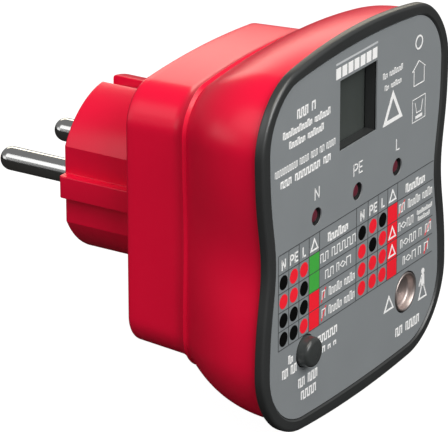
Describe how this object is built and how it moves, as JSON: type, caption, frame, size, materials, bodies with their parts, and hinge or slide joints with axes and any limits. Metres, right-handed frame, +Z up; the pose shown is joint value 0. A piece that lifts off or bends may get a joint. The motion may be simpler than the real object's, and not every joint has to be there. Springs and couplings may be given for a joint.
{
  "type": "outlet tester plug",
  "caption": "Socket outlet tester: flared plastic body with a round two-pin plug and side earth contacts behind, and a panel with display, lamps, push button and touch electrode in front.",
  "frame": {"origin": "centre of the plug's flat end face, midway between the two pins", "axes": "+Y out of the plug's end face into the socket, so the printed panel faces -Y; +X to the right seen from the panel; +Z up"},
  "size_m": [0.07, 0.0787, 0.0759],
  "materials": {
    "red_plastic": "satin",
    "dark_plastic": "satin",
    "label_grey": "satin",
    "button_grey": "satin",
    "clear_window": "clear",
    "display_glass": "dark",
    "contact_strip_rubber": "matte",
    "lamp_red": "gloss",
    "nickel": "polished nickel plate",
    "spring_steel": "drawn",
    "zinc_steel": "zinc plated",
    "board_green": "solder mask",
    "black_plastic": "matte",
    "ceramic_white": "matte ceramic",
    "capacitor_yellow": "satin",
    "carrier_ivory": "matte",
    "wire_brown": "satin",
    "wire_blue": "satin",
    "wire_green_yellow": "satin"
  },
  "bodies": {
    "root": {"housing_shell": "red_plastic", "front_cover": "dark_plastic", "front_label": "label_grey", "window_lens": "clear_window", "display_glass": "display_glass", "display_frame": "black_plastic", "display_connector": "contact_strip_rubber", "led_n": "lamp_red", "led_pe": "lamp_red", "led_l": "lamp_red", "button_spring": "spring_steel", "switch_body": "black_plastic", "touch_electrode": "nickel", "electrode_spring": "spring_steel", "main_board": "board_green", "controller_chip": "black_plastic", "load_resistor_a": "ceramic_white", "load_resistor_b": "ceramic_white", "supply_capacitor": "capacitor_yellow", "fuse": "black_plastic", "pin_left": "nickel", "pin_right": "nickel", "pin_carrier": "carrier_ivory", "earth_bracket": "nickel", "housing_screw_top_left": "zinc_steel", "housing_screw_top_right": "zinc_steel", "housing_screw_bottom_left": "zinc_steel", "housing_screw_bottom_right": "zinc_steel", "board_screw_left": "zinc_steel", "board_screw_right": "zinc_steel", "carrier_screw_top": "zinc_steel", "carrier_screw_bottom": "zinc_steel", "bracket_screw": "zinc_steel", "wire_line": "wire_brown", "wire_neutral": "wire_blue", "wire_earth": "wire_green_yellow"},
    "button": {"test_button": "button_grey", "switch_plunger": "carrier_ivory"}
  },
  "joints": [
    {"name": "test_button_press", "type": "slide", "parent": "root", "child": "button", "axis": [0, 1, 0], "range_m": [0, 0.0012], "stiffness_N_per_m": 600, "springref_m": -0.0033, "deforming": ["button_spring"]}
  ]
}
